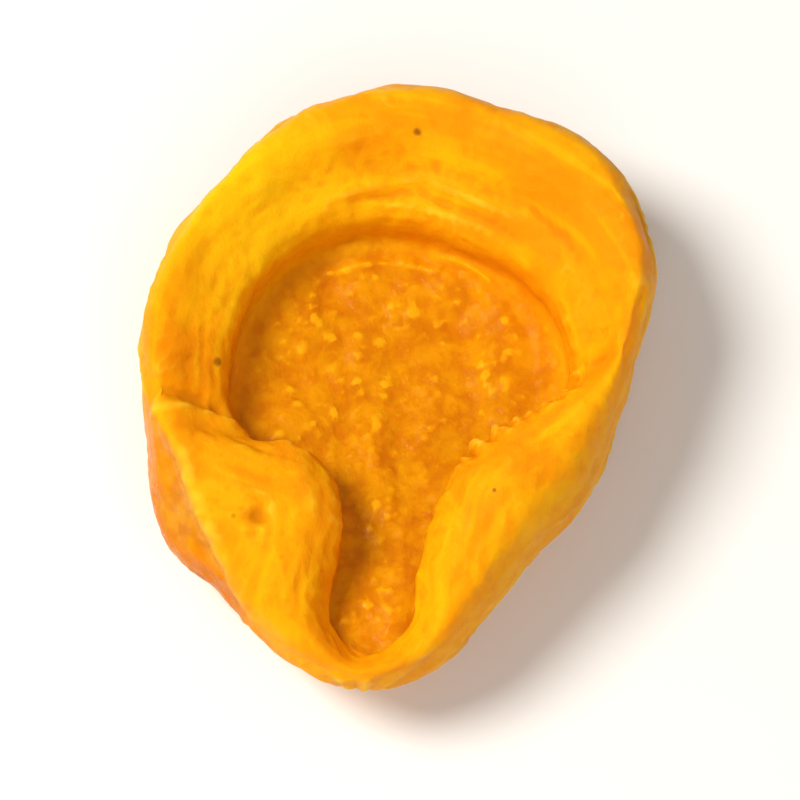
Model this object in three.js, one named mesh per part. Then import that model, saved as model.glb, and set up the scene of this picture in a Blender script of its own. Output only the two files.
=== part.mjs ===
// One half of a dried apricot, stone out, lying on its skin with the cut side up.
//
// It dried from one piece of fruit, so it is one closed surface: the skin below, the rim that
// rolled inwards as it shrank, two lips that fold over the floor beside the stem channel, and the
// hollow where the stone lay. Two closed loops run round the fruit, its outline and the inner edge
// of the rim, and a smooth profile crosses them from the flat under the skin to the floor.
//
// Millimetres. +Z is up, +Y runs from the stem tip to the blossom end.

import * as THREE from "three";
import { ImprovedNoise } from "three/addons/math/ImprovedNoise.js";
import { mergeVertices } from "three/addons/utils/BufferGeometryUtils.js";

// Driving dimensions.
const length = 42.5; // along Y, from the stem tip to the blossom end
const width = 35.4; // along X
const height = 13.2; // along Z, to the top of the rim
const gridSide = 29; // squares along each side of the six patches that cover the surface

// Heights above the surface that the fruit lies on.
const floorMiddle = 4.2;
const floorEdge = 5.0;
const channelEnd = 6.1; // the stem channel climbs towards the tip
const rimFar = 11.7; // the blossom end stands highest
const rimNear = 10.0;
const rimTip = 7.7;
const lipFar = 8.2;
const lipFold = 9.4; // the two folded lips stand proud of the floor
const lipTip = 6.6;
const foldTuck = 1.4; // how far the folded lips overhang their own foot
const plainTuck = 0.4;

const baseMiddle = [-0.3, 1.8];
const floorPole = [-1.4, -3.4]; // in the mouth of the channel, from where the whole floor is in sight

// The outline from above and the inner edge of the rim, station by station round the fruit from
// the right-hand side through the blossom end. The same station of both lies on one line across
// the rim, so the stations crowd where the inner edge runs down the sides of the stem channel.
const stations = [
  { outer: [16.2, 2.6], inner: [11.4, 1.0] },
  { outer: [17.3, 9.6], inner: [10.8, 5.0] },
  { outer: [14.6, 16.0], inner: [8.6, 8.2] },
  { outer: [9.0, 19.2], inner: [4.9, 10.4] },
  { outer: [1.5, 21.3], inner: [0.8, 11.9] },
  { outer: [-4.6, 20.4], inner: [-3.1, 12.0] },
  { outer: [-10.6, 16.7], inner: [-6.9, 10.5] },
  { outer: [-15.4, 10.9], inner: [-9.9, 7.6] },
  { outer: [-17.8, 4.6], inner: [-11.5, 3.9] },
  { outer: [-17.8, -0.6], inner: [-11.7, -0.6] },
  { outer: [-17.2, -5.2], inner: [-9.9, -4.0] },
  { outer: [-15.6, -9.4], inner: [-5.7, -5.2] },
  { outer: [-13.2, -13.2], inner: [-4.1, -7.8] },
  { outer: [-10.4, -16.5], inner: [-4.1, -12.2] },
  { outer: [-7.0, -19.3], inner: [-4.8, -16.6] },
  { outer: [-2.6, -21.1], inner: [-2.4, -18.9] },
  { outer: [1.8, -19.6], inner: [0.6, -17.0] },
  { outer: [5.4, -16.3], inner: [1.0, -14.2] },
  { outer: [8.8, -12.6], inner: [1.6, -11.0] },
  { outer: [11.5, -9.2], inner: [2.8, -7.6] },
  { outer: [13.7, -5.7], inner: [5.4, -4.2] },
  { outer: [15.3, -1.6], inner: [9.5, -1.5] },
];

// Where things are round the fruit, in stations. The tip is the station furthest along -Y.
const tipAt = 15;
const leftFold = { at: 12.2, reach: 2.3 };
const rightFold = { at: 18.6, reach: 2.3 };
const pinches = [
  { at: 9.3, reach: 0.7, depth: 0.9 },
  { at: 21.6, reach: 0.6, depth: 0.5 },
];
const crimpedSide = { at: 0.4, reach: 2.4 };
const terrace = { at: 3.4, reach: 2.6, along: 10.9, depth: 0.45 }; // a step round the far rim

const noise = new ImprovedNoise();

const mix = THREE.MathUtils.lerp;
const smooth = THREE.MathUtils.smoothstep;

// A soft bump of height 1 at a station, falling away on both sides.
function bump(station, at, reach) {
  const half = stations.length / 2;
  const apart = ((((station - at + half) % (2 * half)) + 2 * half) % (2 * half)) - half;
  return Math.exp(-((apart / reach) ** 2));
}

function closedLoop(key) {
  const points = stations.map((s) => new THREE.Vector3(s[key][0], s[key][1], 0));
  return new THREE.CatmullRomCurve3(points, true, "centripetal");
}

const outerLoop = closedLoop("outer");
const innerLoop = closedLoop("inner");

// A point of the uniform cubic B-spline over the controls, with its ends on the end controls.
function splinePoint(controls, along) {
  const last = controls.length - 1;
  const first = Math.min(Math.floor(along), last - 1);
  const t = along - first;
  const at = (i) => {
    if (i < 0) return controls[0].clone().multiplyScalar(2).sub(controls[1]);
    if (i > last) return controls[last].clone().multiplyScalar(2).sub(controls[last - 1]);
    return controls[i];
  };
  return new THREE.Vector3()
    .addScaledVector(at(first - 1), (1 - t) ** 3 / 6)
    .addScaledVector(at(first), (3 * t ** 3 - 6 * t ** 2 + 4) / 6)
    .addScaledVector(at(first + 1), (-3 * t ** 3 + 3 * t ** 2 + 3 * t + 1) / 6)
    .addScaledVector(at(first + 2), t ** 3 / 6);
}

// The heights and the overhang at a station.
function sectionAt(station) {
  const fold = Math.min(
    1,
    bump(station, leftFold.at, leftFold.reach) + bump(station, rightFold.at, rightFold.reach),
  );
  const tip = bump(station, tipAt, 1.9);
  const far = 0.5 + 0.5 * Math.cos(((station - 3) / stations.length) * 2 * Math.PI);
  const rim = mix(mix(rimNear, rimFar, far), rimTip, tip);
  return {
    rim,
    tip,
    fold,
    widest: mix(0.62, 0.78, tip) * rim,
    lip: mix(mix(lipFar, lipFold, fold), lipTip, tip),
    slope: mix(1, 0.1, fold), // the far rim slopes inwards all the way, the folds are full
    swell: mix(0.4, 1.3, fold),
    tuck: mix(plainTuck, foldTuck, fold) * (1 - tip),
  };
}

// The floor climbs a little to the edges of the hollow and along the channel to the tip.
function floorAt(point) {
  const sideways = Math.hypot(point.x, point.y - 4) / 11;
  const downChannel = smooth(-point.y, 3, 17);
  return mix(mix(floorMiddle, floorEdge, Math.min(1, sideways ** 2)), channelEnd, downChannel);
}

// The controls of the profile across the rim at a station, from under the skin to the floor.
function profileAt(station) {
  const s = sectionAt(station);
  const turn = station / stations.length;
  const outer = outerLoop.getPoint(turn);
  const inner = innerLoop.getPoint(turn);
  const base = new THREE.Vector3(...baseMiddle, 0);
  const pole = new THREE.Vector3(...floorPole, 0);
  const round = innerLoop.getTangent(turn);
  const away = new THREE.Vector3(round.y, -round.x, 0); // square to the inner edge, off the hollow
  const up = (point, z) => point.clone().setZ(z);
  const skin = (share, z) => up(base.clone().lerp(outer, share), z);
  const rim = (share, z) => up(outer.clone().lerp(inner, share), z);
  const tucked = inner.clone().addScaledVector(away, s.tuck);
  const foot = floorAt(tucked);
  const floor = (share) => {
    const place = pole.clone().lerp(inner, share);
    return place.setZ(floorAt(place));
  };
  return [
    skin(0, 0),
    skin(0.17, 0),
    skin(0.34, 0),
    skin(0.52, 0),
    skin(0.7, 0.12 * s.widest + 0.9 * s.tip),
    skin(0.86, 0.34 * s.widest + 0.7 * s.tip),
    skin(0.98, 0.66 * s.widest),
    rim(-0.03, s.widest),
    rim(0.01, mix(s.widest, s.rim, 0.6)),
    rim(0.12, s.rim + 0.4),
    rim(0.38, mix(s.rim, s.lip, 0.25 * s.slope) + s.swell),
    rim(0.7, mix(s.rim, s.lip, 0.7 * s.slope) + 0.7 * s.swell),
    rim(0.97, s.lip + 0.35),
    up(inner.clone().addScaledVector(away, -0.2), mix(s.lip, foot, 0.42)),
    up(tucked, mix(s.lip, foot, 0.9)),
    floor(0.9),
    floor(0.6),
    floor(0.28),
    floor(0),
  ];
}

const controlSpans = 18;
const rimFrom = 7;
const lipFrom = 12;
const floorFrom = 14.5;

// How far along the profile the surface has come at a share of the way from base to floor: the
// flat takes few rows and the rim takes many.
const pacing = [
  [0, 0],
  [0.13, 1.9],
  [0.36, 5.6],
  [0.5, 8.6],
  [0.64, 11.4],
  [0.77, 14.3],
  [0.88, 16.1],
  [1, controlSpans],
];

function paced(share) {
  const next = Math.max(1, pacing.findIndex(([from]) => from >= share));
  const [fromShare, fromAlong] = pacing[next - 1];
  const [toShare, toAlong] = pacing[next];
  return mix(fromAlong, toAlong, (share - fromShare) / (toShare - fromShare));
}

// Where the drying fruit crumpled: how far the surface stands proud of the plain loft, along its
// own normal. The skin has long folds that run in to the stem tip, the rim has crimps across it
// and a pinch at the root of each fold, and the floor has low lumps.
function crumple(point, station, along) {
  const { x, y, z } = point;
  const onSkin = smooth(z, 0, 3) * (1 - smooth(along, rimFrom - 1, rimFrom + 1));
  const onRim = smooth(along, rimFrom - 1.5, rimFrom + 0.5) * (1 - smooth(along, lipFrom, lipFrom + 1.5));
  const onFloor = smooth(along, floorFrom - 0.8, floorFrom + 0.6);

  const aroundLength = Math.atan2(x, 11 - z);
  const fromMiddle = smooth(Math.hypot(x, 11 - z), 5, 13);
  const folds = noise.noise(aroundLength * 2.7 + 7.3, y * 0.06, 3.7);
  const creases = noise.noise(x * 0.2, y * 0.14 + 5.1, z * 0.2);
  const lumps = noise.noise(x * 0.13 + 9.2, y * 0.13, z * 0.13 + 2.4);

  const crimped = bump(station, crimpedSide.at, crimpedSide.reach);
  const atEdge = 1 - smooth(along, rimFrom + 1.5, rimFrom + 4);
  const crimps = noise.noise(station * 1.6, along * 0.3, 1.5) * mix(0.15, 0.6, crimped * atEdge);
  const pinched = smooth(along, rimFrom + 2.2, rimFrom + 4.2);
  const pinch = pinches.reduce((sum, p) => sum + p.depth * bump(station, p.at, p.reach), 0);
  const step = Math.exp(-(((along - terrace.along) / 0.45) ** 2)) * bump(station, terrace.at, terrace.reach);

  return (
    onSkin * (fromMiddle * 1.7 * folds + 0.6 * creases) +
    onRim * (crimps - pinched * pinch - terrace.depth * step) +
    (onSkin + onRim) * 0.5 * lumps +
    onFloor * 0.4 * noise.noise(x * 0.3, y * 0.3, 6.6)
  );
}

// Six square patches, blown up to a ball, give an even net of quads with no crowded pole. Each
// point of the ball is then moved to its place on the fruit.
function evenNet(side) {
  const net = new THREE.BoxGeometry(2, 2, 2, side, side, side);
  net.deleteAttribute("normal");
  net.deleteAttribute("uv");
  return mergeVertices(net, 1e-6);
}

// Each square of the net is two triangles, a-b-d and b-c-d. Where the fruit has sheared a square,
// cut it along its shorter diagonal instead, so the surface stays smooth.
function cutSquaresShort(net) {
  const index = net.getIndex();
  const position = net.getAttribute("position");
  const corner = (i) => new THREE.Vector3().fromBufferAttribute(position, i);
  for (let i = 0; i < index.count; i += 6) {
    const [a, b, d] = [index.getX(i), index.getX(i + 1), index.getX(i + 2)];
    const c = index.getX(i + 4);
    if (corner(a).distanceTo(corner(c)) < corner(b).distanceTo(corner(d))) {
      [a, b, c, a, c, d].forEach((which, k) => index.setX(i + k, which));
    }
  }
}

function apricotHalf() {
  const skin = evenNet(gridSide);
  const position = skin.getAttribute("position");
  const places = [];
  const point = new THREE.Vector3();
  const evened = (c) => Math.tan((c * Math.PI) / 4);

  for (let i = 0; i < position.count; i++) {
    point.fromBufferAttribute(position, i);
    point.set(evened(point.x), evened(point.y), evened(point.z)).normalize();
    const turn = (Math.atan2(point.y, point.x) / (2 * Math.PI) + 1) % 1;
    const station = turn * stations.length;
    const along = paced(1 - Math.acos(THREE.MathUtils.clamp(point.z, -1, 1)) / Math.PI);
    places.push({ station, along });
    position.setXYZ(i, ...splinePoint(profileAt(station), along).toArray());
  }

  skin.computeVertexNormals();
  const normal = skin.getAttribute("normal");
  const outwards = new THREE.Vector3();
  for (let i = 0; i < position.count; i++) {
    point.fromBufferAttribute(position, i);
    outwards.fromBufferAttribute(normal, i);
    const { station, along } = places[i];
    point.addScaledVector(outwards, crumple(point, station, along));
    position.setXYZ(i, point.x, point.y, Math.max(0, point.z));
  }
  skin.deleteAttribute("normal");
  cutSquaresShort(skin);

  // Bring the crumpled fruit to its size, with the origin under the middle of its box.
  skin.computeBoundingBox();
  const size = skin.boundingBox.getSize(new THREE.Vector3());
  const middle = skin.boundingBox.getCenter(new THREE.Vector3());
  skin.translate(-middle.x, -middle.y, 0);
  skin.scale(width / size.x, length / size.y, height / size.z);
  skin.computeVertexNormals();
  return skin;
}

const driedFlesh = new THREE.MeshStandardMaterial({ color: 0xf5a30f, roughness: 0.48, metalness: 0 });

const apricot = new THREE.Group();
const half = new THREE.Mesh(apricotHalf(), driedFlesh);
half.name = "apricot_half";
apricot.add(half);

export default apricot;
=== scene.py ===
# A dried apricot half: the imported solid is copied, smoothed, wrinkled and given its flesh.
# Lengths in the dictionaries are in millimetres; Blender's own units are metres.
import bpy
import math
import numpy as np
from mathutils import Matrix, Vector, kdtree, noise


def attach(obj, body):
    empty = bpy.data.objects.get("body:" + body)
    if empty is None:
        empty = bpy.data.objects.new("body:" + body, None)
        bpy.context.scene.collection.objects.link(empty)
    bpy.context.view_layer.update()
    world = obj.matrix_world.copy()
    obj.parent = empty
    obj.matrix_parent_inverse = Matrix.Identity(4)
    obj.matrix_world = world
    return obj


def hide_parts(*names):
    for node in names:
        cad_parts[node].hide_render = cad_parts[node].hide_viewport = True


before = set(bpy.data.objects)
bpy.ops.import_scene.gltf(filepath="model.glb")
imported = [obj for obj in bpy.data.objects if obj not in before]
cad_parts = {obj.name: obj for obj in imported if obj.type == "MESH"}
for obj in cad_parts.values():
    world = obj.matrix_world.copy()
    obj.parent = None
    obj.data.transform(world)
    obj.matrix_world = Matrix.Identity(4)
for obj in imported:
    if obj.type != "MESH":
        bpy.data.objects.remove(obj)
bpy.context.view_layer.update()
print("frame loaded")

mm = 0.001

# The inner edge of the rim and the outline, seen from above, from the right-hand side round
# through the blossom end. The stem tip is at the bottom.
fruitLines = {
    "lip": [
        (11.4, 0.8), (10.8, 4.8), (8.6, 8.0), (5.0, 10.2), (0.9, 11.8), (-3.0, 11.9),
        (-6.7, 10.3), (-9.7, 7.4), (-11.3, 3.7), (-11.5, -0.8), (-9.7, -4.2), (-5.5, -5.4),
        (-4.0, -8.0), (-4.0, -12.4), (-4.7, -16.8), (-2.3, -19.1), (0.7, -17.2), (1.1, -14.4),
        (1.7, -11.2), (2.9, -7.8), (5.5, -4.4), (9.5, -1.7),
    ],
    "outline": [
        (16.2, 2.4), (17.3, 9.4), (14.6, 15.9), (9.0, 19.1), (1.6, 21.2), (-4.5, 20.3),
        (-10.4, 16.6), (-15.2, 10.8), (-17.5, 4.4), (-17.5, -0.8), (-16.9, -5.4), (-15.4, -9.6),
        (-13.0, -13.4), (-10.2, -16.7), (-6.8, -19.5), (-2.5, -21.3), (1.9, -19.8), (5.5, -16.5),
        (8.8, -12.8), (11.5, -9.4), (13.7, -5.9), (15.3, -1.8),
    ],
    "shadeBeyondFold": [  # where the skin turns up beside the left-hand lip; shade is painted there as a darker orange
        (-17.3, 2.5), (-16.8, -1.6), (-16.0, -4.2), (-15.0, -6.2), (-14.2, -8.5), (-13.1, -11.3),
        (-11.6, -14.1), (-10.0, -16.8), (-7.9, -19.5), (-8.0, -24.0), (-15.0, -23.0),
        (-21.0, -14.0), (-22.0, -4.0), (-20.5, 3.5),
    ],
}

# Creases and ridges drawn on the cut side, each a line of points seen from above.
# A ridge stands up along its line (a groove has a negative height); a lap is a small step
# whose left-hand side, going along the points, is the high one.
rimStrokes = [
    {"kind": "lap", "height": 0.34, "width": 0.75,
     "points": [(-7.6, 10.6), (-4.1, 12.9), (-1.2, 13.9), (1.1, 14.2), (3.6, 13.2), (6.9, 11.6),
                (10.2, 9.8)]},
    {"kind": "ridge", "height": 0.2, "width": 0.38,
     "points": [(-3.4, 12.6), (-1.0, 13.0), (1.4, 12.9), (4.2, 11.9), (6.6, 10.8), (8.9, 9.2)]},
    {"kind": "ridge", "height": -0.22, "width": 0.4,
     "points": [(0.8, 13.6), (2.8, 12.9), (5.0, 11.9), (7.6, 10.4), (9.6, 8.4)]},
    {"kind": "ridge", "height": -0.18, "width": 0.45,
     "points": [(3.6, 14.4), (6.4, 13.2), (9.2, 11.8), (11.6, 9.6), (12.6, 7.2)]},
    {"kind": "ridge", "height": 0.16, "width": 0.5,
     "points": [(10.9, 8.9), (12.0, 6.6), (12.3, 4.2), (12.2, 2.2)]},
    {"kind": "ridge", "height": -0.65, "width": 0.75,
     "points": [(-18.6, -1.0), (-17.0, -1.5), (-15.2, -1.7), (-13.4, -1.8), (-11.6, -2.3),
                (-9.6, -3.4)]},
    {"kind": "ridge", "height": -0.16, "width": 0.5,
     "points": [(-17.0, 1.4), (-15.2, 0.9), (-13.2, 1.0), (-11.6, 0.2)]},
    {"kind": "ridge", "height": 0.42, "width": 0.5,
     "points": [(-17.4, -3.8), (-16.2, -3.3), (-15.0, -3.0), (-13.4, -2.9), (-11.3, -3.5),
                (-8.8, -4.7), (-6.6, -5.6), (-5.2, -7.2)]},
    {"kind": "ridge", "height": -0.2, "width": 0.5,
     "points": [(-15.4, -4.4), (-13.4, -4.2), (-11.4, -4.7), (-9.4, -5.8), (-8.0, -7.2)]},
    {"kind": "lap", "height": 0.7, "width": 1.0,
     "points": [(-17.0, -2.4), (-15.4, -5.6), (-14.4, -8.5), (-13.3, -11.2), (-11.8, -14.0),
                (-10.1, -16.9), (-7.6, -19.8)]},
    {"kind": "ridge", "height": -0.2, "width": 0.4,
     "points": [(11.6, 0.2), (13.2, 0.8), (15.0, 1.0), (16.4, 1.8)]},
    {"kind": "ridge", "height": 0.14, "width": 0.5,
     "points": [(-12.2, -5.2), (-9.6, -6.2), (-7.2, -7.2), (-6.0, -9.4), (-6.0, -12.4)]},
    {"kind": "ridge", "height": -0.13, "width": 0.5,
     "points": [(-13.4, -6.4), (-10.8, -7.6), (-8.6, -8.8), (-7.6, -11.2), (-7.8, -14.0)]},
    {"kind": "ridge", "height": -0.12, "width": 0.6,
     "points": [(12.0, -4.4), (9.4, -6.8), (7.2, -9.8), (5.2, -13.2), (3.0, -16.6)]},
    {"kind": "ridge", "height": 0.12, "width": 0.6,
     "points": [(-13.6, 8.6), (-10.4, 12.6), (-6.6, 15.4), (-2.0, 17.0), (2.4, 17.4)]},
]

# The same for the floor of the hollow.
hollowStrokes = [
    {"kind": "ridge", "height": 0.32, "width": 0.34,
     "points": [(1.6, 11.0), (3.5, 10.6), (4.8, 10.1), (6.0, 9.2), (6.9, 7.9)]},
    {"kind": "ridge", "height": 0.2, "width": 0.36,
     "points": [(-7.0, 8.4), (-4.4, 9.8), (-1.4, 10.3), (1.6, 10.0), (3.8, 9.2)]},
    {"kind": "ridge", "height": 0.14, "width": 0.8,
     "points": [(-0.6, 8.6), (-1.0, 4.8), (-1.3, 0.8), (-1.5, -3.8), (-1.4, -8.2), (-1.9, -13.0)]},
    {"kind": "ridge", "height": -0.08, "width": 0.5,
     "points": [(-8.6, 3.8), (-6.8, 1.2), (-4.6, -1.8), (-2.9, -5.4), (-2.6, -9.0), (-3.2, -13.0)]},
    {"kind": "ridge", "height": -0.08, "width": 0.5,
     "points": [(7.6, 3.2), (5.6, 0.6), (3.0, -2.0), (1.0, -5.2), (-0.2, -9.6), (-1.0, -14.4)]},
]


def deselectAll():
    if bpy.context.mode != "OBJECT":
        bpy.ops.object.mode_set(mode="OBJECT")
    bpy.ops.object.select_all(action="DESELECT")


def pick(piece):
    deselectAll()
    piece.select_set(True)
    bpy.context.view_layer.objects.active = piece


def applyModifier(piece, kind, **settings):
    modifier = piece.modifiers.new(kind.lower(), kind)
    for name, value in settings.items():
        setattr(modifier, name, value)
    bpy.ops.object.modifier_apply(modifier=modifier.name)


def smoothstep(low, high, value):
    t = np.clip((value - low) / (high - low), 0.0, 1.0)
    return t * t * (3.0 - 2.0 * t)


def bell(value, centre, reach):
    return np.exp(-(((value - centre) / reach) ** 2))


# A Catmull-Rom line through the points, as a fine string of dots.
def curveDots(points, closed, steps=24):
    p = np.array(points, float)
    if closed:
        before, after, beyond = np.roll(p, 1, 0), np.roll(p, -1, 0), np.roll(p, -2, 0)
    else:
        before = np.vstack([2 * p[0] - p[1], p[:-2]])
        after = p[1:]
        beyond = np.vstack([p[2:], 2 * p[-1] - p[-2]])
        p = p[:-1]
    dots = []
    for t in np.arange(steps) / steps:
        dots.append(0.5 * (
            2 * p
            + (after - before) * t
            + (2 * before - 5 * p + 4 * after - beyond) * t**2
            + (3 * p - before - 3 * after + beyond) * t**3
        ))
    return np.stack(dots, 1).reshape(-1, 2)


# For every place: how far it is from the closed line, and how far round the line that is.
def besideLine(places, points):
    dots = curveDots(points, True)
    pace = np.linalg.norm(np.roll(dots, -1, 0) - dots, axis=1)
    soFar = np.concatenate([[0.0], np.cumsum(pace)[:-1]])
    tree = kdtree.KDTree(len(dots))
    for i, dot in enumerate(dots):
        tree.insert((dot[0], dot[1], 0.0), i)
    tree.balance()
    nearest = [tree.find((x, y, 0.0)) for x, y in places]
    gap = np.array([found[2] for found in nearest])
    around = soFar[[found[1] for found in nearest]]
    return gap, around


# True where a place is inside the line, by counting the line's crossings to its right.
def insideLine(places, points):
    dots = curveDots(points, True, steps=6)
    inside = np.zeros(len(places), bool)
    x, y = places[:, 0], places[:, 1]
    for a, b in zip(dots, np.roll(dots, -1, 0)):
        if a[1] == b[1]:
            continue
        crosses = (a[1] > y) != (b[1] > y)
        inside ^= crosses & (x < a[0] + (y - a[1]) / (b[1] - a[1]) * (b[0] - a[0]))
    return inside


# The mesh as arrays: places in mm, normals, and the two ends of every edge.
class Shape:
    def __init__(self, piece):
        mesh = piece.data
        count = len(mesh.vertices)
        place = np.empty(count * 3, np.float32)
        mesh.vertices.foreach_get("co", place)
        self.place = place.reshape(-1, 3).astype(float) / mm
        normal = np.empty(count * 3, np.float32)
        mesh.vertex_normals.foreach_get("vector", normal)
        self.normal = normal.reshape(-1, 3).astype(float)
        ends = np.empty(len(mesh.edges) * 2, np.int32)
        mesh.edges.foreach_get("vertices", ends)
        self.ends = ends.reshape(-1, 2)
        self.neighbours = np.bincount(self.ends.ravel(), minlength=count)

    def blurred(self, values, times):
        if values.ndim == 2:
            return np.stack([self.blurred(column, times) for column in values.T], 1)
        a, b = self.ends.T
        for _ in range(times):
            total = np.bincount(a, values[b], len(values)) + np.bincount(b, values[a], len(values))
            values = 0.5 * values + 0.5 * total / self.neighbours
        return values

    # The places reached from a start over the edges, without leaving the allowed ones.
    def reached(self, start, allowed):
        found = np.zeros(len(self.place), bool)
        found[start] = True
        a, b = self.ends.T
        while True:
            before = found.sum()
            found[b[found[a]]] = True
            found[a[found[b]]] = True
            found &= allowed
            found[start] = True
            if found.sum() == before:
                return found

    def nearestTo(self, x, y, z):
        return int(np.argmin(np.linalg.norm(self.place - np.array([x, y, z]), axis=1)))

    # How far each place stands proud of its surroundings, in mm.
    def proud(self, times):
        return np.einsum("ij,ij->i", self.place - self.blurred(self.place, times), self.normal)


# Smooth noise from about -1 to 1 with the given grain, in mm.
def noiseAt(places, grain, seed=0.0):
    step = Vector((seed, seed * 1.7, seed * 0.6))  # a seed moves the noise along a slanted line
    return np.array([noise.noise(Vector(p) + step) for p in (places / grain).tolist()])


# Sharp crests between soft valleys on lines that swirl, as a skin wrinkles when it dries.
def wrinklesAt(places, grain, swirl, seed=0.0):
    bendSeeds = (11.3, 27.1, 43.9)
    sharpness = 2.6
    bends = [noiseAt(places, grain * 4, seed + bendSeed) for bendSeed in bendSeeds]
    lines = noiseAt(places + swirl * np.stack(bends, 1), grain, seed)
    return 1.0 - sharpness * np.abs(lines)


# Round pimples, each with its own height.
def pimplesAt(places, size, seed=0.0):
    leastHeight = 0.55
    radius = 0.6  # as a share of the size
    cellShift = 7.3
    heights = []
    for spot in (places / size + seed).tolist():
        distances, points = noise.voronoi(spot)
        tall = leastHeight + (1 - leastHeight) * noise.cell(points[0] * cellShift)
        heights.append(tall * max(0.0, 1.0 - (distances[0] / radius) ** 2))
    return np.array(heights)


# The height that the listed creases and ridges give every place, seen from above.
def strokesAt(plan, strokes):
    taperShare = 0.25  # of the length, at each end
    overrun = 0.3  # mm past the last dot before the line fades out
    lapFall = 1.2  # how soon a lap flattens out to its sides
    height = np.zeros(len(plan))
    for stroke in strokes:
        width = stroke["width"]
        dots = curveDots(stroke["points"], False, steps=16)
        reach = 3 * width
        low, high = dots.min(0) - reach, dots.max(0) + reach
        near = np.where(((plan > low) & (plan < high)).all(1))[0]
        away = plan[near, None, :] - dots[None, :, :]
        which = np.linalg.norm(away, axis=2).argmin(1)
        way = np.gradient(dots, axis=0)[which]
        way /= np.linalg.norm(way, axis=1)[:, None]
        offset = away[np.arange(len(near)), which]
        side = (way[:, 0] * offset[:, 1] - way[:, 1] * offset[:, 0]) / width
        beyond = np.clip(np.abs((way * offset).sum(1)) - overrun, 0, None) / width
        share = which / (len(dots) - 1)
        taper = smoothstep(0.0, taperShare, share) * (1 - smoothstep(1 - taperShare, 1.0, share))
        if stroke["kind"] == "lap":
            profile = side * np.exp(0.5 - lapFall * side**2)
        else:
            profile = np.exp(-(side**2))
        height[near] += stroke["height"] * taper * np.exp(-(beyond**2)) * profile
    return height


# Raise and press the surface along its own normals by a height for each vertex, in mm.
def carve(piece, height):
    pick(piece)
    for label, way in (("raised", 1), ("pressed", -1)):
        part = np.clip(way * height, 0, None)
        most = float(part.max())
        strength = way * most * mm
        group = piece.vertex_groups.new(name=label)
        for i, weight in enumerate((part / most).tolist()):
            if weight > 0:
                group.add((i,), weight, "REPLACE")
        applyModifier(piece, "DISPLACE", vertex_group=label, strength=strength, mid_level=0.0)
        piece.vertex_groups.clear()


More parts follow.
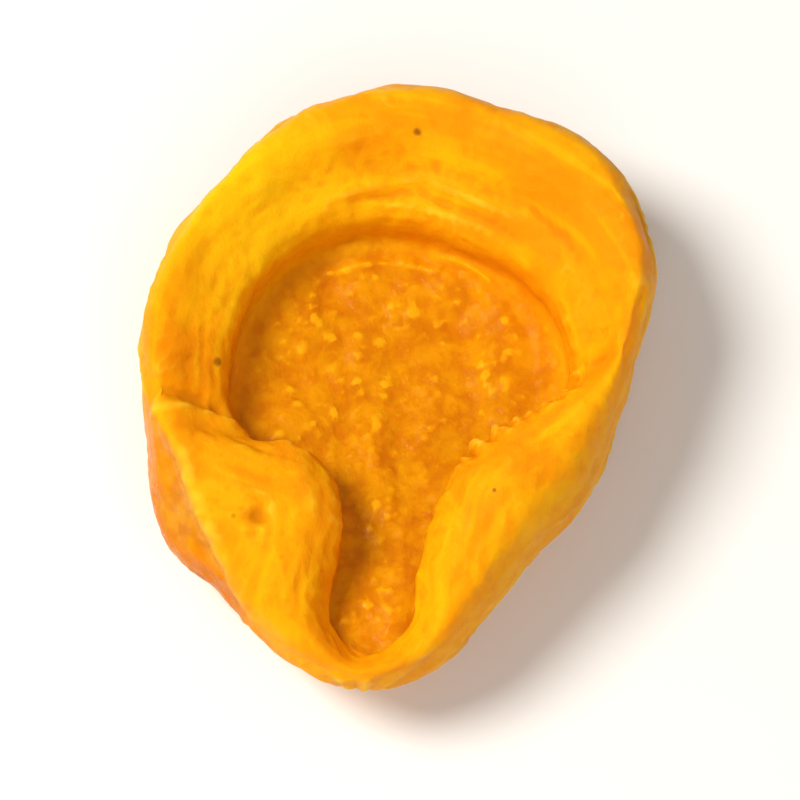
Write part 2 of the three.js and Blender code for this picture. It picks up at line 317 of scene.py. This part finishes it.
halfShape = {
    "subdivisions": 2,
    "mergeGap": 0.005,  # corners nearer than this are joined
    "radii": (17.5, 21.0),  # of the fruit seen from above, across and along
    "meanRadius": 19.0,
    "restMiddle": (0.0, 1.0, 0.0),  # where the skin and the hollow are looked for first
    "hollowMiddle": (0.0, 5.0, 4.5),
    "stemPlace": (-2.6, -20.6, 5.0),
    "dimple": {"at": (-9.4, -11.0), "reach": 0.7, "depth": 0.7, "stretch": 0.7, "ragged": 0.5},
    "steep": 0.3,  # a surface whose normal points up by less than this is a wall or the underside
    "lipShelf": 0.3,  # all that is further inside the lip than this is hollow
    "lipOverhang": 2.0,  # the wall of the hollow runs out under the lip by up to this
    "lipHeight": 8.6,
    "lipDrop": 1.6,  # how much lower the lip is at the stem
    "blur": {"skin": 10, "hollow": 7, "beyond": 4, "strokes": 2},
    "height": {
        "folds": 0.2,  # long folds of the skin, from the stem to the blossom end
        "crinkles": 0.11,
        "ridges": 0.44,  # thin ridges of the skin that run along the outline
        "pleats": 0.13,  # they run in to the stem
        "stemDip": 0.4,
        "restValleys": 0.088,
        "rimWave": 0.17,
        "crimps": 0.34,  # along the right-hand edge
        "finesse": 0.06,  # faint wrinkles of the cut face
        "streaks": 0.045,  # lines that follow the inner edge of the rim
        "teeth": 1.0,  # on the upper edge of the right-hand lip
        "pimples": 0.25,
        "smallPimples": 0.125,
        "floorHumps": 0.3,
        "wallHumps": 0.1,
        "pebbles": 0.05,
    },
    # Noise with a grain in mm and a seed, some of it on places that are squeezed along an axis.
    # With a swirl it makes wrinkles.
    "fields": {
        "zoneEdge": {"grain": 2.6, "seed": 5.9},
        "folds": {"grain": 3.4, "seed": 3.1, "squeeze": (1.0, 0.4, 1.0)},
        "crinkles": {"grain": 1.1, "seed": 5.2, "squeeze": (1.0, 0.6, 1.0), "swirl": 2.6},
        "crinklePatches": {"grain": 6.0, "seed": 7.7},
        "ridges": {"grain": 1.5, "seed": 8.8, "swirl": 0.9},
        "ridgePatches": {"grain": 5.0, "seed": 1.9},
        "pleatSway": {"grain": 4.0, "seed": 2.2},
        "strokeSway": {"grain": 1.3, "seed": 5.5},
        "rimWave": {"grain": 3.4, "seed": 4.4},
        "dimpleEdge": {"grain": 0.9, "seed": 3.7},
        "crimps": {"grain": 1.7, "seed": 6.1},
        "finesse": {"grain": 1.3, "seed": 12.4, "swirl": 1.6},
        "streaks": {"grain": 1.0, "seed": 2.4, "swirl": 0.5},
        "teeth": {"grain": 1.1, "seed": 2.9},
        "smallTeeth": {"grain": 0.6, "seed": 5.3},
        "pimplePatches": {"grain": 3.6, "seed": 3.3},
        "floorHumps": {"grain": 2.4, "seed": 6.6, "squeeze": (1.0, 0.6, 1.0)},
        "wallHumps": {"grain": 1.6, "seed": 1.2},
        "pebbles": {"grain": 0.9, "seed": 7.1},
        "broadStreaks": {"grain": 0.8, "seed": 3.3},
        "narrowStreaks": {"grain": 0.4, "seed": 8.3},
    },
    # Where a form fades in along x, y, z or a distance; the second value may be the lower one.
    "ranges": {
        "lipDropY": (-8, -18),
        "beyondZ": (0.5, 8.0),
        "beyondStemY": (-22, -14),
        "beyondRootY": (-6.5, 1.5),
        "ridgesY": (-8, 8),
        "ridgesZ": (0.8, 3.5),
        "foldsZ": (0.0, 4.0),
        "restingZ": (0.05, 1.0),
        "crinkleCrests": (0.1, 0.9),
        "crimpsX": (9.0, 13.0),
        "crimpsStartY": (0.5, 3.0),
        "crimpsEndY": (13.0, 17.0),
        "crimpsEdgeGap": (1.6, 4.6),
        "teethX": (2.5, 4.5),
        "teethStartY": (-7.5, -5.5),
        "teethEndY": (0.6, 2.0),
        "teethZ": (7.4, 9.2),
        "floorFacingUp": (0.35, 0.8),
        "pimplesInside": (0.9, 2.6),
        "pimplePatches": (-0.7, 0.2),
        "softLipY": (-5, 1),
        "offTableZ": (0.3, 1.3),
    },
    # Where a form is strongest, as a distance in mm, and how far it spreads to both sides.
    "bells": {
        "pleats": (3.2, 3.2),
        "stemDip": (0.0, 0.8),
        "streaks": (1.0, 3.0),
        "teeth": (0.4, 0.9),
        "softLip": (0.6, 1.7),
    },
    # Noise that breaks up the edges and the depth of the painted shade beyond the fold.
    "shadeRagged": {"z": 2.4, "stemY": 2.0, "rootY": 3.0, "mean": 0.9, "spread": 0.3},
    "ridgeSqueeze": 0.16,  # of the ridges' places, which makes them long
    "ridgeLean": 0.45,  # how far they slope down as the side runs outwards
    "ridgeDepth": 0.4,  # how deep the valleys between them are let down
    "ridgesByStem": 0.45,  # their height there, as a share
    "ridgesLeast": 0.1,
    "patchiness": {"ridges": 0.55, "crinkles": 0.45},
    "pleatCount": 11,  # round the stem
    "pleatSway": 1.5,
    "strokeMean": 1.05,  # the listed strokes are made stronger and weaker along their way
    "strokeSpread": 0.5,
    "crimpSlant": 0.35,
    "crimpsElsewhere": 0.25,  # their height on the rest of the edge, as a share
    "streakSqueeze": 0.15,  # of the way round, which makes them long
    "streakTilt": 0.3,
    "toothSlant": 0.5,
    "smallToothShare": 0.6,
    "teethElsewhere": 0.12,
    "pimples": {"size": 1.25, "seed": 4.0},
    "smallPimples": {"size": 0.775, "seed": 9.0},
    "pimpleSink": 0.2,
    # How strongly fine and broad relief count in the colours, which paint highlights on proud
    # places and shade in sunk ones.
    "crest": {"fineBlur": 3, "fine": 3.0, "broadBlur": 12, "broad": 2.5, "calmBeyond": 0.8},
    "streakShares": (0.55, 0.3),  # broad and narrow
}


def fieldAt(places, name):
    field = halfShape["fields"][name]
    squeezed = places * np.array(field.get("squeeze", (1.0, 1.0, 1.0)))
    if "swirl" in field:
        return wrinklesAt(squeezed, field["grain"], field["swirl"], field["seed"])
    return noiseAt(squeezed, field["grain"], field["seed"])


# From 0 before a named range to 1 past it.
def past(name, value):
    low, high = halfShape["ranges"][name]
    return smoothstep(low, high, value)


def belled(name, value):
    centre, reach = halfShape["bells"][name]
    return bell(value, centre, reach)


# A share that is the least one where the mask is 0, and 1 where it is 1.
def atLeast(least, mask):
    return least + (1 - least) * mask


def makeHalf():
    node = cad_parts["apricot_half"]
    half = bpy.data.objects.new("half", node.data.copy())
    bpy.context.scene.collection.objects.link(half)
    pick(half)
    bpy.ops.object.mode_set(mode="EDIT")
    bpy.ops.mesh.select_all(action="SELECT")
    bpy.ops.mesh.remove_doubles(threshold=halfShape["mergeGap"] * mm)
    bpy.ops.mesh.tris_convert_to_quads(face_threshold=math.pi, shape_threshold=math.pi)
    bpy.ops.object.mode_set(mode="OBJECT")
    levels = halfShape["subdivisions"]
    applyModifier(half, "SUBSURF", levels=levels, render_levels=levels)
    print("half: smoothed copy,", len(half.data.polygons), "faces")
    return half


# Which part of the fruit each vertex belongs to, and where it lies beside the two lines.
def findZones(shape):
    s = halfShape
    blur = s["blur"]
    plan = shape.place[:, :2]
    y, z = shape.place[:, 1], shape.place[:, 2]
    lipGap, lipAround = besideLine(plan, fruitLines["lip"])
    lipGap = np.where(insideLine(plan, fruitLines["lip"]), -lipGap, lipGap)
    edgeGap, edgeAround = besideLine(plan, fruitLines["outline"])
    steep = shape.normal[:, 2] < s["steep"]
    underneath = shape.reached(shape.nearestTo(*s["restMiddle"]), steep)
    lipHeight = s["lipHeight"] - s["lipDrop"] * past("lipDropY", y)
    belowLip = (lipGap < s["lipOverhang"]) & (z < lipHeight)
    allowed = ~underneath & (steep | (lipGap < -s["lipShelf"]) | belowLip)
    inHollow = shape.reached(shape.nearestTo(*s["hollowMiddle"]), allowed)
    skin = shape.blurred(underneath.astype(float), blur["skin"])
    hollow = shape.blurred(inHollow.astype(float), blur["hollow"])
    ragged = fieldAt(shape.place, "zoneEdge")
    by = s["shadeRagged"]
    # Painted shade: the skin beyond the left-hand fold is marked here to be coloured a darker
    # orange.
    beyond = shape.blurred(insideLine(plan, fruitLines["shadeBeyondFold"]).astype(float), blur["beyond"])
    beyond *= past("beyondZ", z + by["z"] * ragged) * past("beyondStemY", y + by["stemY"] * ragged)
    beyond *= 1 - past("beyondRootY", y + by["rootY"] * ragged)
    beyond *= by["mean"] + by["spread"] * ragged
    print("half: zones found,", int(underneath.sum()), "skin,", int(inHollow.sum()), "hollow")
    return {
        "skin": skin, "hollow": hollow, "rim": np.clip(1 - skin - hollow, 0, 1),
        "beyond": np.clip(beyond, 0, 1),
        "lipGap": lipGap, "lipAround": lipAround, "edgeGap": edgeGap, "edgeAround": edgeAround,
    }


# Places in which the way along the inner edge of the rim is short, so that noise read there
# gives streaks that follow the edge. The first two values close up into a ring.
def alongRim(shape, zones):
    aroundRadius = zones["lipAround"].max() / (2 * math.pi)
    turn = zones["lipAround"] / aroundRadius
    ringRadius = halfShape["streakSqueeze"] * aroundRadius
    across = zones["lipGap"] + halfShape["streakTilt"] * shape.place[:, 2]
    return np.stack([ringRadius * np.cos(turn), ringRadius * np.sin(turn), across], 1)


# Folds and ridges of the skin. The face it rests on keeps only the valleys, so it stays flat.
def skinRelief(shape, zones):
    s = halfShape
    most = s["height"]
    place = shape.place
    x, y, z = place.T
    crinkles = fieldAt(place, "crinkles")
    outward = np.hypot(x / s["radii"][0], y / s["radii"][1]) * s["meanRadius"]
    squeeze = s["ridgeSqueeze"]
    swept = np.stack([squeeze * x, squeeze * y, z + s["ridgeLean"] * outward], 1)
    ridges = np.maximum(fieldAt(swept, "ridges"), -s["ridgeDepth"])
    patches = s["patchiness"]["ridges"] + fieldAt(place, "ridgePatches")
    patchy = atLeast(s["ridgesByStem"], past("ridgesY", y)) * patches
    onSide = past("ridgesZ", z) * patchy
    stem = place - np.array(s["stemPlace"])
    fromStem = np.linalg.norm(stem, axis=1)
    turn = np.arctan2(stem[:, 0], -stem[:, 2])
    pleats = np.sin(turn * s["pleatCount"] + s["pleatSway"] * fieldAt(place, "pleatSway"))
    spread = s["patchiness"]["crinkles"]
    height = most["folds"] * fieldAt(place, "folds") * past("foldsZ", z)
    height += most["crinkles"] * crinkles * (1 - spread + spread * fieldAt(place, "crinklePatches"))
    height += most["ridges"] * ridges * np.clip(onSide, s["ridgesLeast"], 1)
    height += most["pleats"] * pleats * belled("pleats", fromStem)
    height -= most["stemDip"] * belled("stemDip", fromStem)
    resting = 1 - past("restingZ", z)
    valleys = -most["restValleys"] * past("crinkleCrests", crinkles)
    return (height * (1 - resting) + valleys * resting) * zones["skin"]


# Laps and creases of the cut face, the crimped edge, the dimple, and streaks along the lip.
def rimRelief(shape, zones):
    s = halfShape
    most = s["height"]
    place = shape.place
    plan = place[:, :2]
    x, y = plan.T
    strokes = shape.blurred(strokesAt(plan, rimStrokes), s["blur"]["strokes"])
    height = strokes * (s["strokeMean"] + s["strokeSpread"] * fieldAt(place, "strokeSway"))
    height += most["rimWave"] * fieldAt(place, "rimWave")
    dimple = s["dimple"]
    stretched = (plan - np.array(dimple["at"])) * np.array([1.0, dimple["stretch"]])
    reach = dimple["reach"] * (1 + dimple["ragged"] * fieldAt(place, "dimpleEdge"))
    height -= dimple["depth"] * bell(np.linalg.norm(stretched, axis=1), 0.0, reach)
    crimped = past("crimpsX", x) * past("crimpsStartY", y) * (1 - past("crimpsEndY", y))
    edge = np.stack([zones["edgeAround"], s["crimpSlant"] * zones["edgeGap"], 0 * x], 1)
    crimps = fieldAt(edge, "crimps") * (1 - past("crimpsEdgeGap", zones["edgeGap"]))
    height += most["crimps"] * crimps * atLeast(s["crimpsElsewhere"], crimped)
    height += most["finesse"] * fieldAt(place, "finesse")
    streaks = fieldAt(alongRim(shape, zones), "streaks")
    height += most["streaks"] * streaks * belled("streaks", zones["lipGap"])
    return height * zones["rim"]


# Torn teeth along the inner edge of the rim, most on the upper edge of the right-hand lip.
def teethRelief(shape, zones):
    s = halfShape
    x, y, z = shape.place.T
    onTeeth = past("teethX", x) * past("teethStartY", y) * (1 - past("teethEndY", y))
    along = np.stack([zones["lipAround"], s["toothSlant"] * zones["lipGap"], 0 * x], 1)
    teeth = fieldAt(along, "teeth") + s["smallToothShare"] * fieldAt(along, "smallTeeth")
    atEdge = belled("teeth", zones["lipGap"]) * past("teethZ", z) * (1 - zones["skin"])
    return s["height"]["teeth"] * teeth * atEdge * atLeast(s["teethElsewhere"], onTeeth)


# Pimples where the stone lay, with the smooth foot of the far wall left bare.
def hollowRelief(shape, zones):
    s = halfShape
    most = s["height"]
    place = shape.place
    onFloor = past("floorFacingUp", shape.normal[:, 2])
    patches = past("pimplePatches", fieldAt(place, "pimplePatches"))
    pimply = past("pimplesInside", -zones["lipGap"]) * patches
    height = most["pimples"] * (pimplesAt(place, **s["pimples"]) - s["pimpleSink"]) * pimply
    height += most["smallPimples"] * pimplesAt(place, **s["smallPimples"])
    height += most["floorHumps"] * fieldAt(place, "floorHumps")
    height += strokesAt(place[:, :2], hollowStrokes)
    wall = most["wallHumps"] * fieldAt(place, "wallHumps")
    return (height * onFloor + wall * (1 - onFloor)) * zones["hollow"]


def addColours(piece, name, columns):
    colours = np.clip(np.stack(columns, 1), 0.0, 1.0).astype(np.float32)
    layer = piece.data.color_attributes.new(name, "FLOAT_COLOR", "POINT")
    layer.data.foreach_set("color", colours.ravel())


# For the material: the zones of each vertex, how proud or sunk it is, which paints highlights on
# proud places and shade in sunk ones, and in the fourth value how near it is to the lip of the far
# wall, where the hollow has no sharp edge. The skin beside the left-hand lip counts as hollow as
# well, which paints shade on it as a darker orange.
def paintZones(piece, shape, zones):
    crest = halfShape["crest"]
    proud = crest["fine"] * shape.proud(crest["fineBlur"])
    proud += crest["broad"] * shape.proud(crest["broadBlur"])
    standing = 0.5 + proud * (1 - crest["calmBeyond"] * zones["beyond"])
    # The painted shade beyond the fold is carried in the hollow channel.
    hollow = np.maximum(zones["hollow"], zones["beyond"])
    soft = belled("softLip", zones["lipGap"]) * past("softLipY", shape.place[:, 1])
    addColours(piece, "zones", [hollow, zones["skin"], standing, soft])
    ring = alongRim(shape, zones)
    broad, narrow = halfShape["streakShares"]
    streaks = 0.5 + broad * fieldAt(ring, "broadStreaks") + narrow * fieldAt(ring, "narrowStreaks")
    addColours(piece, "streaks", [streaks, streaks, streaks, np.ones_like(streaks)])
    print("half: painted, mean of the relief value %.2f" % np.mean(np.clip(standing, 0, 1)))


half = makeHalf()
smooth = Shape(half)
zones = findZones(smooth)
relief = skinRelief(smooth, zones) + rimRelief(smooth, zones) + hollowRelief(smooth, zones)
relief += teethRelief(smooth, zones)
pebbles = halfShape["height"]["pebbles"] * fieldAt(smooth.place, "pebbles")
relief += pebbles * past("offTableZ", smooth.place[:, 2])
carve(half, relief)
carved = Shape(half)
paintZones(half, carved, zones)
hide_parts("apricot_half")
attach(half, "root")
print("half: wrinkled")


def principled(material):
    return next(n for n in material.node_tree.nodes if n.type == "BSDF_PRINCIPLED")


# Short ways to add and join the nodes of one material.
class NodeBench:
    def __init__(self, material):
        self.nodes = material.node_tree.nodes
        self.links = material.node_tree.links
        self.place = self.nodes.new("ShaderNodeTexCoord").outputs["Object"]

    def feed(self, socket, value):
        if isinstance(value, bpy.types.NodeSocket):
            self.links.new(value, socket)
        elif isinstance(value, tuple) and len(value) == 3 and socket.type == "RGBA":
            socket.default_value = (*value, 1.0)
        else:
            socket.default_value = value

    def stretched(self, scale):
        node = self.nodes.new("ShaderNodeMapping")
        self.feed(node.inputs["Vector"], self.place)
        node.inputs["Scale"].default_value = scale
        return node.outputs["Vector"]

    # Noise with a grain in mm, from 0 to 1 about 0.5.
    def noise(self, grain, detail=3.0, rough=0.55, distortion=0.0, stretch=None):
        node = self.nodes.new("ShaderNodeTexNoise")
        self.feed(node.inputs["Vector"], self.stretched(stretch) if stretch else self.place)
        node.inputs["Scale"].default_value = 1 / (grain * mm)
        node.inputs["Detail"].default_value = detail
        node.inputs["Roughness"].default_value = rough
        node.inputs["Distortion"].default_value = distortion
        return node.outputs[0]

    def cells(self, grain):
        node = self.nodes.new("ShaderNodeTexVoronoi")
        self.feed(node.inputs["Vector"], self.place)
        node.inputs["Scale"].default_value = 1 / (grain * mm)
        return node

    # The three values of a colour attribute of the mesh, and its fourth.
    def painted(self, name):
        layer = self.nodes.new("ShaderNodeVertexColor")
        layer.layer_name = name
        split = self.nodes.new("ShaderNodeSeparateColor")
        self.feed(split.inputs["Color"], layer.outputs["Color"])
        values = [split.outputs[part] for part in ("Red", "Green", "Blue")]
        return values + [layer.outputs["Alpha"]]

    def ramp(self, value, low, high, toLow=0.0, toHigh=1.0):
        node = self.nodes.new("ShaderNodeMapRange")
        node.interpolation_type = "SMOOTHSTEP"
        self.feed(node.inputs["Value"], value)
        node.inputs["From Min"].default_value = low
        node.inputs["From Max"].default_value = high
        node.inputs["To Min"].default_value = toLow
        node.inputs["To Max"].default_value = toHigh
        return node.outputs["Result"]

    def sum(self, kind, a, b):
        node = self.nodes.new("ShaderNodeMath")
        node.operation = kind
        self.feed(node.inputs[0], a)
        self.feed(node.inputs[1], b)
        return node.outputs[0]

    def mix(self, a, b, factor):
        node = self.nodes.new("ShaderNodeMix")
        node.data_type = "RGBA"
        self.feed(node.inputs["Factor"], factor)
        self.feed(node.inputs["A"], a)
        self.feed(node.inputs["B"], b)
        return node.outputs["Result"]

    # Full strength nearer to a spot than inner, none past outer; noise makes the edge ragged.
    def spot(self, place, outer, inner, strength, ragged=None, by=0.0):
        node = self.nodes.new("ShaderNodeVectorMath")
        node.operation = "DISTANCE"
        self.feed(node.inputs[0], self.place)
        node.inputs[1].default_value = tuple(c * mm for c in place)
        gap = node.outputs["Value"]
        if ragged:
            gap = self.sum("ADD", gap, self.sum("MULTIPLY", ragged, by * mm))
        return self.ramp(gap, outer * mm, inner * mm, 0.0, strength)

    def bump(self, height, distance, below=None):
        node = self.nodes.new("ShaderNodeBump")
        self.feed(node.inputs["Height"], height)
        node.inputs["Distance"].default_value = distance * mm
        if below:
            self.feed(node.inputs["Normal"], below)
        return node.outputs["Normal"]


fleshLook = {
    "lemon": (0.97, 0.55, 0.003),
    "golden": (0.94, 0.40, 0.002),
    "amber": (0.89, 0.30, 0.002),
    "deepAmber": (0.84, 0.25, 0.002),
    "deepOrange": (0.62, 0.19, 0.001),
    "floorOrange": (0.72, 0.28, 0.001),
    # Pimples are paler, and this colour also paints glints on them.
    "pimple": (0.94, 0.47, 0.006),
    "skinHoney": (0.93, 0.41, 0.008),
    "skinAmber": (0.88, 0.32, 0.004),
    "skinOrange": (0.78, 0.25, 0.004),
    # Pale sugar frosting on the skin's crests, with a painted highlight there as well.
    "skinFrostAndHighlight": (0.97, 0.58, 0.07),
    "skinShaded": (0.70, 0.19, 0.002),
    # Painted shade for sunk places and creases.
    "creaseShade": (0.66, 0.16, 0.002),
    # Painted highlight on proud places of the rim and skin.
    "crest": (1.0, 0.55, 0.03),
    "speckBrown": (0.22, 0.055, 0.008),
    "stemScar": (0.80, 0.56, 0.28),
    "patterns": {
        "cloudy": {"grain": 6.5, "detail": 3.0, "rough": 0.55, "distortion": 0.4},
        "mottled": {"grain": 1.6, "detail": 4.0, "rough": 0.6, "distortion": 0.3},
        "grainy": {"grain": 0.45, "detail": 2.0},
        "fibres": {"grain": 1.0, "detail": 4.0, "rough": 0.6, "distortion": 0.3,
                   "stretch": (1.0, 0.4, 1.0)},
        "wrinkled": {"grain": 0.6, "detail": 4.0, "rough": 0.6, "distortion": 0.6,
                     "stretch": (1.0, 0.45, 1.0)},
        "fine": {"grain": 0.3, "detail": 3.0, "rough": 0.6},
    },
    # Each layer: its colour, the pattern that it follows, where in the pattern it starts and is
    # full, and how strong it is there.
    "rim": [
        ("golden", "cloudy", 0.36, 0.6, 1.0),
        ("amber", "mottled", 0.5, 0.68, 0.7),
        ("lemon", "streak", 0.54, 0.85, 0.3),
        ("deepAmber", "streak", 0.46, 0.15, 0.3),
    ],
    "floor": [
        ("floorOrange", "mottled", 0.36, 0.62, 1.0),
        # Paler pimple tops, with painted glints on them.
        ("pimple", "crest", 0.56, 0.9, 0.6),
    ],
    "skin": [
        ("skinHoney", "fibres", 0.3, 0.68, 1.0),
        ("skinOrange", "cloudy", 0.46, 0.7, 0.6),
        # Paler frosting and a painted highlight on the skin's crests.
        ("skinFrostAndHighlight", "crest", 0.58, 0.95, 0.4),
    ],
    # Painted shade: sunk places and creases get a darker orange.
    "creaseShades": [("creaseShade", "crest", 0.46, 0.1, 0.42)],
    "crestHighlight": (0.62, 1.0, 0.45),  # the same three values, outside the hollow alone; a painted highlight on proud places
    "grain": [("amber", "grainy", 0.6, 0.8, 0.25)],
    "softLip": (0.05, 1.0, 1.0, 0.35),  # the floor's colour fades out towards the far lip
    # Spots: how far they reach, where they are full, and how strong they are.
    # A painted pool of light: the top-left of the rim is made paler yellow, where the light falls.
    "paintedLightPool": {"place": (-10.5, 12.0, 11.0), "outer": 11, "inner": 2, "strength": 0.75},
    # Painted shade in the dimple on the left-hand flap.
    "dimpleShadeSpot": {"outer": 1.7, "inner": 0.8, "strength": 0.75, "by": 1.2},
    "moistDimple": {"outer": 1.3, "inner": 0.5, "strength": -0.32},
    "scar": {"outer": 1.5, "inner": 0.9, "strength": 0.85, "by": 0.6},
    "specks": [(1.1, 17.3, 0.30), (-12.4, 1.1, 0.34), (6.2, -9.4, 0.16)],  # from above, and size
    "speck": {"outer": 1.8, "inner": 0.8, "strength": 0.75, "by": 0.9},  # times its size
    "dots": {"grain": 3.4, "few": (0.66, 0.7), "radii": (0.075, 0.035), "strength": 0.4},
    "roughness": (0.3, 0.7, 0.42, 0.6),
    "wetHollow": -0.3,  # added to the roughness
    "wrinkleOffSkin": 0.3,  # fine wrinkles on the cut side, as a share
    "wrinkleDepth": 0.16,
    "fineDepth": 0.035,
    "shader": {
        "Specular IOR Level": 0.1,
        "Subsurface Weight": 0.45,
        "Subsurface Radius": (1.0, 0.42, 0.06),
        "Subsurface Scale": 0.002,
    },
}


# The place on the upturned side of the fruit that lies at x, y seen from above.
def onCutSide(shape, x, y, leastFacingUp=0.2):
    gap = np.linalg.norm(shape.place[:, :2] - np.array([x, y]), axis=1)
    gap[shape.normal[:, 2] < leastFacingUp] = np.inf
    return tuple(shape.place[int(gap.argmin())].tolist())


def layered(bench, colour, layers, patterns):
    for name, pattern, start, full, strength in layers:
        mask = bench.ramp(patterns[pattern], start, full, 0.0, strength)
        colour = bench.mix(colour, fleshLook[name], mask)
    return colour


def fleshMaterial(shape):
    c = fleshLook
    material = bpy.data.materials.new("driedFlesh")
    material.use_nodes = True
    shader = principled(material)
    bench = NodeBench(material)
    inHollow, onSkin, crest, softLip = bench.painted("zones")
    patterns = {"crest": crest, "streak": bench.painted("streaks")[0]}
    for name, settings in c["patterns"].items():
        patterns[name] = bench.noise(**settings)

    rim = layered(bench, c["amber"], c["rim"], patterns)
    floor = layered(bench, c["deepOrange"], c["floor"], patterns)
    skin = layered(bench, c["skinAmber"], c["skin"], patterns)
    # Painted light: the top-left of the rim turns paler yellow.
    rim = bench.mix(rim, c["lemon"], bench.spot(**c["paintedLightPool"]))
    # Painted shade: the skin beside the left-hand lip turns a darker orange.
    skin = bench.mix(skin, c["skinShaded"], inHollow)
    onFloor = bench.sum("MULTIPLY", inHollow, bench.ramp(softLip, *c["softLip"]))
    colour = bench.mix(rim, floor, onFloor)
    colour = bench.mix(colour, skin, onSkin)
    # Painted shade in sunk places and creases.
    colour = layered(bench, colour, c["creaseShades"], patterns)
    # Painted highlight: proud places outside the hollow are made paler.
    start, full, strength = c["crestHighlight"]
    outside = bench.sum("SUBTRACT", 1.0, inHollow)
    paintedHighlight = bench.sum("MULTIPLY", bench.ramp(crest, start, full, 0.0, strength), outside)
    colour = bench.mix(colour, c["crest"], paintedHighlight)
    colour = layered(bench, colour, c["grain"], patterns)

    dots = bench.cells(c["dots"]["grain"])
    few = bench.ramp(dots.outputs["Color"], *c["dots"]["few"])
    faint = bench.sum("MULTIPLY", bench.ramp(dots.outputs["Distance"], *c["dots"]["radii"]), few)
    faint = bench.sum("MULTIPLY", faint, c["dots"]["strength"])
    colour = bench.mix(colour, c["speckBrown"], faint)
    speck = c["speck"]
    for x, y, size in c["specks"]:
        stained = bench.spot(
            onCutSide(shape, x, y), speck["outer"] * size, speck["inner"] * size,
            speck["strength"], patterns["grainy"], speck["by"] * size,
        )
        colour = bench.mix(colour, c["speckBrown"], stained)
    dimple = onCutSide(shape, *halfShape["dimple"]["at"])
    # Painted shade: the dimple is darkened to a deep orange.
    dimpleShade = bench.spot(dimple, ragged=patterns["mottled"], **c["dimpleShadeSpot"])
    colour = bench.mix(colour, c["deepOrange"], dimpleShade)
    atStem = bench.spot(halfShape["stemPlace"], ragged=patterns["grainy"], **c["scar"])
    colour = bench.mix(colour, c["stemScar"], atStem)
    bench.feed(shader.inputs["Base Color"], colour)

    rough = bench.ramp(patterns["mottled"], *c["roughness"])
    rough = bench.sum("ADD", rough, bench.sum("MULTIPLY", inHollow, c["wetHollow"]))
    rough = bench.sum("ADD", rough, bench.spot(dimple, **c["moistDimple"]))
    bench.feed(shader.inputs["Roughness"], rough)
    depth = bench.ramp(onSkin, 0, 1, c["wrinkleOffSkin"], 1.0)
    normal = bench.bump(bench.sum("MULTIPLY", patterns["wrinkled"], depth), c["wrinkleDepth"])
    normal = bench.bump(patterns["fine"], c["fineDepth"], normal)
    bench.feed(shader.inputs["Normal"], normal)
    for name, value in c["shader"].items():
        shader.inputs[name].default_value = value
    return material


half.data.materials.clear()
half.data.materials.append(fleshMaterial(carved))
pick(half)
bpy.ops.object.shade_smooth()
print("half: flesh material set")

setStage = {
    "floorSize": 900,
    "floorColour": (0.90, 0.895, 0.88, 1.0),
    "floorRoughness": 0.7,
    "cameraElevation": 68,
    "cameraLens": 180,
    "sensorWidth": 36,
    "clip": (10, 5000),
    "frameHeight": 55,  # what the picture takes in at the fruit, top to bottom
    "cameraAim": (0.0, 0.0, 5.5),
    "lights": [  # name, place, width, watts, colour
        ("softKey", (-225, 20, 355), 180, 1.72, (1.0, 0.97, 0.92)),
        ("frontFill", (60, -260, 330), 300, 0.55, (1.0, 0.98, 0.95)),
        ("glint", (-165, 90, 380), 28, 0.36, (1.0, 0.86, 0.5)),
    ],
    "shineLight": "glint",  # it alone makes wet spots shine, and it lights nothing else
    "sky": (1.0, 0.975, 0.93, 1.0),
    "skyStrength": 0.26,
}


def makeFloor():
    deselectAll()
    bpy.ops.mesh.primitive_plane_add(size=setStage["floorSize"] * mm, location=(0, 0, 0))
    floor = bpy.context.object
    floor.name = "floor"
    material = bpy.data.materials.new("paleFloor")
    material.use_nodes = True
    shader = principled(material)
    shader.inputs["Base Color"].default_value = setStage["floorColour"]
    shader.inputs["Roughness"].default_value = setStage["floorRoughness"]
    floor.data.materials.append(material)


def makeLights():
    for name, place, width, watts, colour in setStage["lights"]:
        data = bpy.data.lights.new(name, "AREA")
        data.shape = "DISK"
        data.size = width * mm
        data.energy = watts
        data.color = colour
        light = bpy.data.objects.new(name, data)
        light.location = Vector(place) * mm
        light.rotation_euler = (-light.location).to_track_quat("-Z", "Y").to_euler()
        light.visible_glossy = name == setStage["shineLight"]
        light.visible_diffuse = name != setStage["shineLight"]
        bpy.context.scene.collection.objects.link(light)


def makeSky():
    world = bpy.data.worlds.new("studio")
    world.use_nodes = True
    background = next(n for n in world.node_tree.nodes if n.type == "BACKGROUND")
    background.inputs["Color"].default_value = setStage["sky"]
    background.inputs["Strength"].default_value = setStage["skyStrength"]
    bpy.context.scene.world = world
    bpy.context.scene.view_settings.view_transform = "Standard"  # keeps the flesh golden


def makeCamera():
    s = setStage
    data = bpy.data.cameras.new("camera")
    data.lens = s["cameraLens"]
    data.sensor_width = s["sensorWidth"]
    data.clip_start, data.clip_end = (end * mm for end in s["clip"])
    camera = bpy.data.objects.new("camera", data)
    distance = s["frameHeight"] * s["cameraLens"] / s["sensorWidth"]
    tilt = math.radians(s["cameraElevation"])
    back = Vector((0, -math.cos(tilt), math.sin(tilt)))
    camera.location = (Vector(s["cameraAim"]) + back * distance) * mm
    camera.rotation_euler = (-back).to_track_quat("-Z", "Y").to_euler()
    bpy.context.scene.collection.objects.link(camera)
    bpy.context.scene.camera = camera


makeFloor()
makeLights()
makeSky()
makeCamera()
print("stage, lights and camera set")
